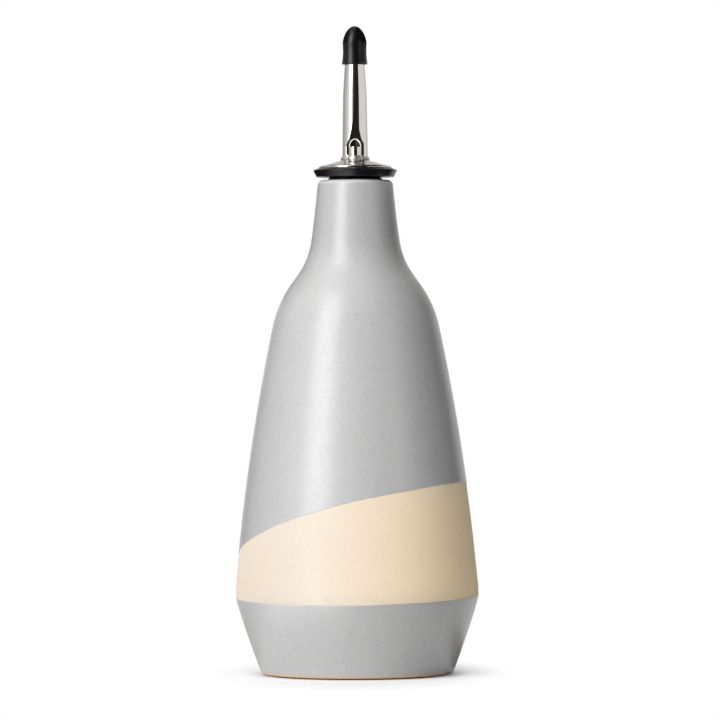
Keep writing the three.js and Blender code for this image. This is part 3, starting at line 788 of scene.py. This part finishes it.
# %% [markdown]
# ### Silicone and rubber
#
# The stopper is moulded silicone and the cap moulded rubber. Both could be a plain black, but then their
# highlights would be as clean as lacquer. So a fine noise, as a satin mould leaves it, makes the sheen
# uneven.

# %% Black mouldings
# A satin moulding gives the eye near-black with a soft sheen. The mould's grain is under 0.1 mm on the real
# pieces, too fine to show, so it is drawn at 0.3 mm.
MOULD_GRAIN_MM = 0.3
MOULD_IOR = 1.43
UNEVEN = 0.02


def black_moulding(name, colour, roughness):
    """Dark dielectric whose roughness wavers with a fine noise."""
    material, tree = new_material(name)
    coords = add(tree, "TexCoord").outputs["Object"]
    grain = add(tree, "TexNoise", {"Scale": grains(MOULD_GRAIN_MM), "Detail": 3}, {"Vector": coords})
    span = {"To Min": roughness - UNEVEN, "To Max": roughness + UNEVEN}
    sheen = add(tree, "MapRange", span, {"Value": grain.outputs[0]})
    look = {"Base Color": colour, "IOR": MOULD_IOR}
    shader = add(tree, "BsdfPrincipled", look, {"Roughness": sheen.outputs[0]})
    add(tree, "OutputMaterial", links={"Surface": shader.outputs[0]})
    return material


dress(stopper, black_moulding("silicone_black", linear("#0f0f11"), 0.3))
dress(cap, black_moulding("rubber_black", linear("#08080a"), 0.31))

# %% [markdown]
# ### Stainless steel
#
# The tubes are polished to a mirror, the pressed dome is only buffed, and the collars are dulled by
# brazing. The bores were never polished; their dark brown is partly oxide and partly painted shade deep in
# the tube. One material with three settings serves for all, and an attribute of the mesh tells it where a
# bore is.

# %% Stainless steel
# Polished steel gives the eye a faintly warm mirror, drawn out along the tube by fine lines. Real polishing
# lines are too fine to show, so they are drawn 0.4 mm wide.
STEEL_BRIGHT = linear("#d0cdc8")
# The dark brown of the bores is partly oxide and partly painted shade.
STEEL_OXIDE_AND_SHADE = linear("#3a322b")
BORE_ROUGHNESS = 0.5
POLISH_MM = 0.4
ALONG_TUBE = (1, 1, 0.005)


def stainless_steel(name, finest, coarsest):
    """Metal with faint polishing lines between two roughnesses; in a bore duller, and dark with oxide and
    painted shade.
    """
    material, tree = new_material(name)
    coords = add(tree, "TexCoord").outputs["Object"]
    drawn = add(tree, "Mapping", {"Scale": ALONG_TUBE}, {"Vector": coords})
    lines = add(tree, "TexNoise", {"Scale": grains(POLISH_MM), "Detail": 3}, {"Vector": drawn.outputs[0]})
    dull = add(tree, "Attribute", {"attribute_name": "dull"}).outputs["Fac"]
    polish = add(tree, "MapRange", {"To Min": finest, "To Max": coarsest}, {"Value": lines.outputs[0]})
    rough = add(tree, "Mix", {"B": BORE_ROUGHNESS}, {0: dull, "A": polish.outputs[0]})
    colour = add(tree, "Mix", {**COLOURS, A: STEEL_BRIGHT, B: STEEL_OXIDE_AND_SHADE}, {0: dull})
    look = {"Base Color": colour.outputs[MIXED], "Roughness": rough.outputs[0]}
    shader = add(tree, "BsdfPrincipled", {"Metallic": 1.0}, look)
    add(tree, "OutputMaterial", links={"Surface": shader.outputs[0]})
    return material


polished = stainless_steel("stainless_steel_polished", 0.03, 0.07)
buffed = stainless_steel("stainless_steel_buffed", 0.12, 0.16)
brazed = stainless_steel("stainless_steel_brazed", 0.40, 0.50)
dress(dome, buffed)
for tube in (spout, vent):
    dress(tube, polished)
for ring in (spout_collar, vent_collar):
    dress(ring, brazed)

# %% [markdown]
# ## The camera
#
# A long lens stands level with the middle of the bottle, as for a catalogue picture. Its distance and its
# focal length, in pixels of a square picture, are written as numbers, because Blender's own framing
# helpers follow another picture size.

# %% Camera
FOCAL_PX = 4550
FRAME_PX = 720
SENSOR_MM = 36
CAMERA_DISTANCE = 1.727
EYE_Z = 0.1190
CAMERA_X = 0.0015
ROLL = np.radians(-0.26)
camera = bpy.data.objects.new("camera", bpy.data.cameras.new("camera"))
bpy.context.collection.objects.link(camera)
camera.data.sensor_width = SENSOR_MM
camera.data.lens = SENSOR_MM * FOCAL_PX / FRAME_PX
camera.location = (CAMERA_X, -CAMERA_DISTANCE, EYE_Z)
camera.rotation_euler = (Matrix.Rotation(np.pi / 2, 3, "X") @ Matrix.Rotation(ROLL, 3, "Z")).to_euler()
bpy.context.scene.camera = camera
print(f"camera {CAMERA_DISTANCE} m in front, lens {camera.data.lens:.1f} mm")

# %% [markdown]
# ## The white backdrop
#
# The bottle stands before white paper. A white world would light it from all sides and flatten its form,
# so the world is white only to rays that look at it, straight or by way of a mirror, and almost dark as a
# light.

# %% World
SKY_WHITE = 1.0
SKY_FILL = 0.02


def seen_directly(tree):
    """1 for what the camera sees straight on, in a mirror or through glass, and 0 for light on a surface."""
    path = add(tree, "LightPath").outputs
    either = {"operation": "MAXIMUM"}
    bounced = add(tree, "Math", either, {0: path["Is Glossy Ray"], 1: path["Is Transmission Ray"]})
    return add(tree, "Math", either, {0: path["Is Camera Ray"], 1: bounced.outputs[0]}).outputs[0]


studio = bpy.data.worlds.new("white_studio")
bpy.context.scene.world = studio
studio.use_nodes = True
backdrop = studio.node_tree
backdrop.nodes.clear()
fill = add(backdrop, "Background", {"Color": linear("#fffaf3"), "Strength": SKY_FILL}).outputs[0]
white = add(backdrop, "Background", {"Color": linear("#ffffff"), "Strength": SKY_WHITE}).outputs[0]
sky = add(backdrop, "MixShader", links={0: seen_directly(backdrop), 1: fill, 2: white})
add(backdrop, "OutputWorld", links={"Surface": sky.outputs[0]})
print(f"world: strength {SKY_WHITE} to the eye, {SKY_FILL} as a light")

# %% [markdown]
# ## The lamps
#
# A tall softbox stands to the left in front, a weaker one beside the camera, a broad one hangs above, and
# one behind lights the edges and the paper. Point lamps would be simpler, but a rectangle leaves the
# upright, soft highlight of a softbox. Only the first is seen by reflections; the others light the form
# alone.

# %% Lamps
MIDDLE = np.array((0, 0, 0.12))
NEARLY_UP = (0, 0.001, 1)


def around(azimuth, distance, height):
    """Places at azimuths in degrees, measured from the front towards the right: (d sin a, -d cos a, h)."""
    turn = np.radians(azimuth)
    return np.stack((distance * np.sin(turn), -distance * np.cos(turn), height + 0 * turn), -1)


def soft_light(name, place, width, tall, watts, mirrored=False):
    """A rectangular lamp that faces the middle of the bottle with its tall side upright.

    Its axes are across = up x away, away x across, and away, the unit vector from the bottle to the lamp.
    """
    lamp = bpy.data.lights.new(name, "AREA")
    lamp.shape = "RECTANGLE"
    lamp.size = width
    lamp.size_y = tall
    lamp.energy = watts
    holder = bpy.data.objects.new(name, lamp)
    bpy.context.collection.objects.link(holder)
    away = (place - MIDDLE) / np.linalg.norm(place - MIDDLE)
    across = np.cross(NEARLY_UP, away)
    across /= np.linalg.norm(across)
    turned_to = np.eye(4)
    turned_to[:3, :3] = np.stack((across, np.cross(away, across), away), 1)
    turned_to[:3, 3] = place
    holder.matrix_world = Matrix(turned_to.tolist())
    holder.visible_camera = False
    holder.visible_glossy = mirrored
    print(f"{name}: {watts} W over {width} x {tall} m")


soft_light("key_softbox", around(-42, 1.25, 0.74), width=0.66, tall=1.4, watts=16.2, mirrored=True)
soft_light("front_fill", around(-16, 1.9, 0.35), width=0.9, tall=1.0, watts=6.2)
soft_light("top_softbox", np.array((-0.12, -0.6, 1.2)), width=1.2, tall=0.5, watts=6.2)
soft_light("back_light", around(180, 2.2, 0.5), width=0.4, tall=1.0, watts=24)

# %% [markdown]
# ## The floor
#
# White paper that keeps the bottle's soft shadow. A shadow catcher needs a compositor, so the paper
# itself is plain right by the foot, where the shadow falls, glows a little with painted light just outside
# it, which leaves a painted contact shadow round the foot, and fades to pure white further out. To light on
# its way to a surface it is ordinary paper all over.

# %% Floor
FLOOR_HALF = 6.0
FLOOR_CORNERS = ((-1, -1), (1, -1), (1, 1), (-1, 1))
SHADOW_OVAL = (1.6, 1, 1)
SHADOW_FADE = {"interpolation_type": "SMOOTHSTEP", "From Min": 0.043, "From Max": 0.098}
SPREAD_LIGHT = {"From Min": 0.036, "From Max": 0.044, "To Max": 0.26}
WHITE = linear("#ffffff")


def paper_sweep():
    """Paper whose shadow fades to white with the distance on an oval, and lightens outside the foot."""
    material, tree = new_material("white_paper_sweep")
    length = {"operation": "LENGTH"}
    coords = add(tree, "TexCoord").outputs["Object"]
    oval = add(tree, "Mapping", {"Scale": SHADOW_OVAL}, {"Vector": coords})
    distance = add(tree, "VectorMath", length, {0: oval.outputs[0]}).outputs["Value"]
    far = add(tree, "MapRange", SHADOW_FADE, {"Value": distance}).outputs[0]
    radius = add(tree, "VectorMath", length, {0: coords}).outputs["Value"]
    spread = add(tree, "MapRange", SPREAD_LIGHT, {"Value": radius}).outputs[0]
    paper = add(tree, "BsdfDiffuse", {"Color": linear("#e7e7e7")}).outputs[0]
    catcher = add(tree, "BsdfDiffuse", {"Color": linear("#e1e1e1")}).outputs[0]
    glow = add(tree, "Emission", {"Color": WHITE}, {"Strength": spread}).outputs[0]
    near = add(tree, "AddShader", links={0: catcher, 1: glow}).outputs[0]
    bright = add(tree, "Emission", {"Color": WHITE, "Strength": 1.0}).outputs[0]
    shown = add(tree, "MixShader", links={0: far, 1: near, 2: bright}).outputs[0]
    both = add(tree, "MixShader", links={0: seen_directly(tree), 1: paper, 2: shown}).outputs[0]
    add(tree, "OutputMaterial", links={"Surface": both})
    return material


floor = bpy.data.objects.new("floor", bpy.data.meshes.new("floor"))
bpy.context.collection.objects.link(floor)
floor.data.from_pydata([(x * FLOOR_HALF, y * FLOOR_HALF, 0) for x, y in FLOOR_CORNERS], [], [(0, 1, 2, 3)])
dress(floor, paper_sweep())

# %% [markdown]
# ## The cards
#
# Polished steel and satin glaze show the room round them: bright ceiling, pale walls, and dark cloth
# beside and before the bottle. A photographer sets up such cards and flags by hand. A whole room could be
# modelled, but curved cards that reflections alone can see give each tone its place and add no light or
# shadow.

# %% Card helpers
CARD_COLUMNS = 25


def card(name, paint, azimuths, low_rail, high_rail):
    """A screen curved round the object between two rails of (distance, height), that only reflections see."""
    turn = np.linspace(*azimuths, CARD_COLUMNS)
    points = np.concatenate([around(turn, *rail) for rail in (low_rail, high_rail)])
    low = np.arange(CARD_COLUMNS - 1)
    quads = np.stack((low, low + 1, low + CARD_COLUMNS + 1, low + CARD_COLUMNS), 1)
    screen = bpy.data.objects.new(name, bpy.data.meshes.new(name))
    bpy.context.collection.objects.link(screen)
    screen.data.from_pydata(points.tolist(), [], quads.tolist())
    dress(screen, paint)
    screen.visible_camera = False
    screen.visible_diffuse = False
    screen.visible_shadow = False
    screen.visible_transmission = False


def card_paint(name, colour, strength=1.0):
    """A flat tone that looks the same from wherever a reflection meets it."""
    material, tree = new_material(name)
    tone = add(tree, "Emission", {"Color": linear(colour), "Strength": strength})
    add(tree, "OutputMaterial", links={"Surface": tone.outputs[0]})
    print(f"{name}: {colour} at {strength}")
    return material


# %% Cards
# Each card has a name, a paint, two azimuths and two rails, which several cards share.
cloth = card_paint("dark_cloth", "#2d2926")
shade = card_paint("shaded_cloth", "#655f5a")
grey = card_paint("grey_wall", "#bdbab6")
pale = card_paint("pale_wall", "#dcd9d5")
lit = card_paint("lit_paper", "#ffffff", 3.1)
bright = card_paint("lit_ceiling", "#ffffff", 1.7)
soft = card_paint("soft_ceiling", "#cecbc7")
NECK_RAILS = ((0.06, 0.15), (0.06, 0.192))
ROOM_RAILS = ((1.65, -0.2), (1.65, 1.6))
FLANK_RAILS = ((0.25, 0.0), (0.25, 0.207))
WALL_RAILS = ((0.4, 0.207), (0.4, 0.6))
CAP_RAILS = ((0.03, 0.2385), (0.03, 0.28))
card("lit_ceiling_left", bright, (-60, -20), (0.75, 1.1), (0.45, 1.3))
card("lit_ceiling_far_left", bright, (-105, -60), (1.0, 0.85), (0.45, 1.3))
card("lit_ceiling_above", bright, (-40, 40), (0.25, 1.1), (0.34, 1.1))
card("neck_flag_right", cloth, (60, 116), *NECK_RAILS)
card("neck_flag_left", cloth, (-150, -95), *NECK_RAILS)
card("soft_ceiling_behind", soft, (100, 260), (1.6, 0.6), (1.5, 1.3))
card("lit_paper_left", lit, (-75, -8), (0.16, 0.0005), (0.08, 0.0005))
# This grey card is painted shade of the paper by the foot, which only reflections see.
card("shaded_paper_far_left", grey, (-160, -95), (0.2, 0.0006), (0.04, 0.0006))
card("shaded_paper_right", shade, (85, 165), (0.08, 0.0006), (0.04, 0.0006))
card("dark_room", cloth, (-6, 39), *ROOM_RAILS)
card("shaded_room", shade, (-25, -6), *ROOM_RAILS)
card("dark_ceiling", cloth, (-110, 150), (1.9, 0.78), (0.05, 2.1))
card("dark_ceiling_behind", cloth, (110, 250), (1.5, 1.3), (1.0, 1.7))
card("dark_cloth_in_front", cloth, (-50, 50), (1.65, 0.001), (0.3, 0.001))
card("right_flag", cloth, (55, 132), *FLANK_RAILS)
card("left_flag", cloth, (-150, -75), *FLANK_RAILS)
card("grey_wall_left", grey, (-160, -112), *WALL_RAILS)
card("pale_wall_left", pale, (-112, -85), *WALL_RAILS)
card("pale_wall_right", pale, (122, 160), *WALL_RAILS)
card("cap_flag_left", cloth, (-165, -65), *CAP_RAILS)
card("cap_flag_right", cloth, (65, 165), *CAP_RAILS)
card("dark_cloth_near", cloth, (-10, 85), (0.3, 0.0006), (0.1, 0.0006))

# %% [markdown]
# ## The end
#
# The finished pieces have to keep to the box of the imported model. The Standard view shows a colour
# about as it was written.

# %% Finish
bpy.context.scene.view_settings.view_transform = "Standard"
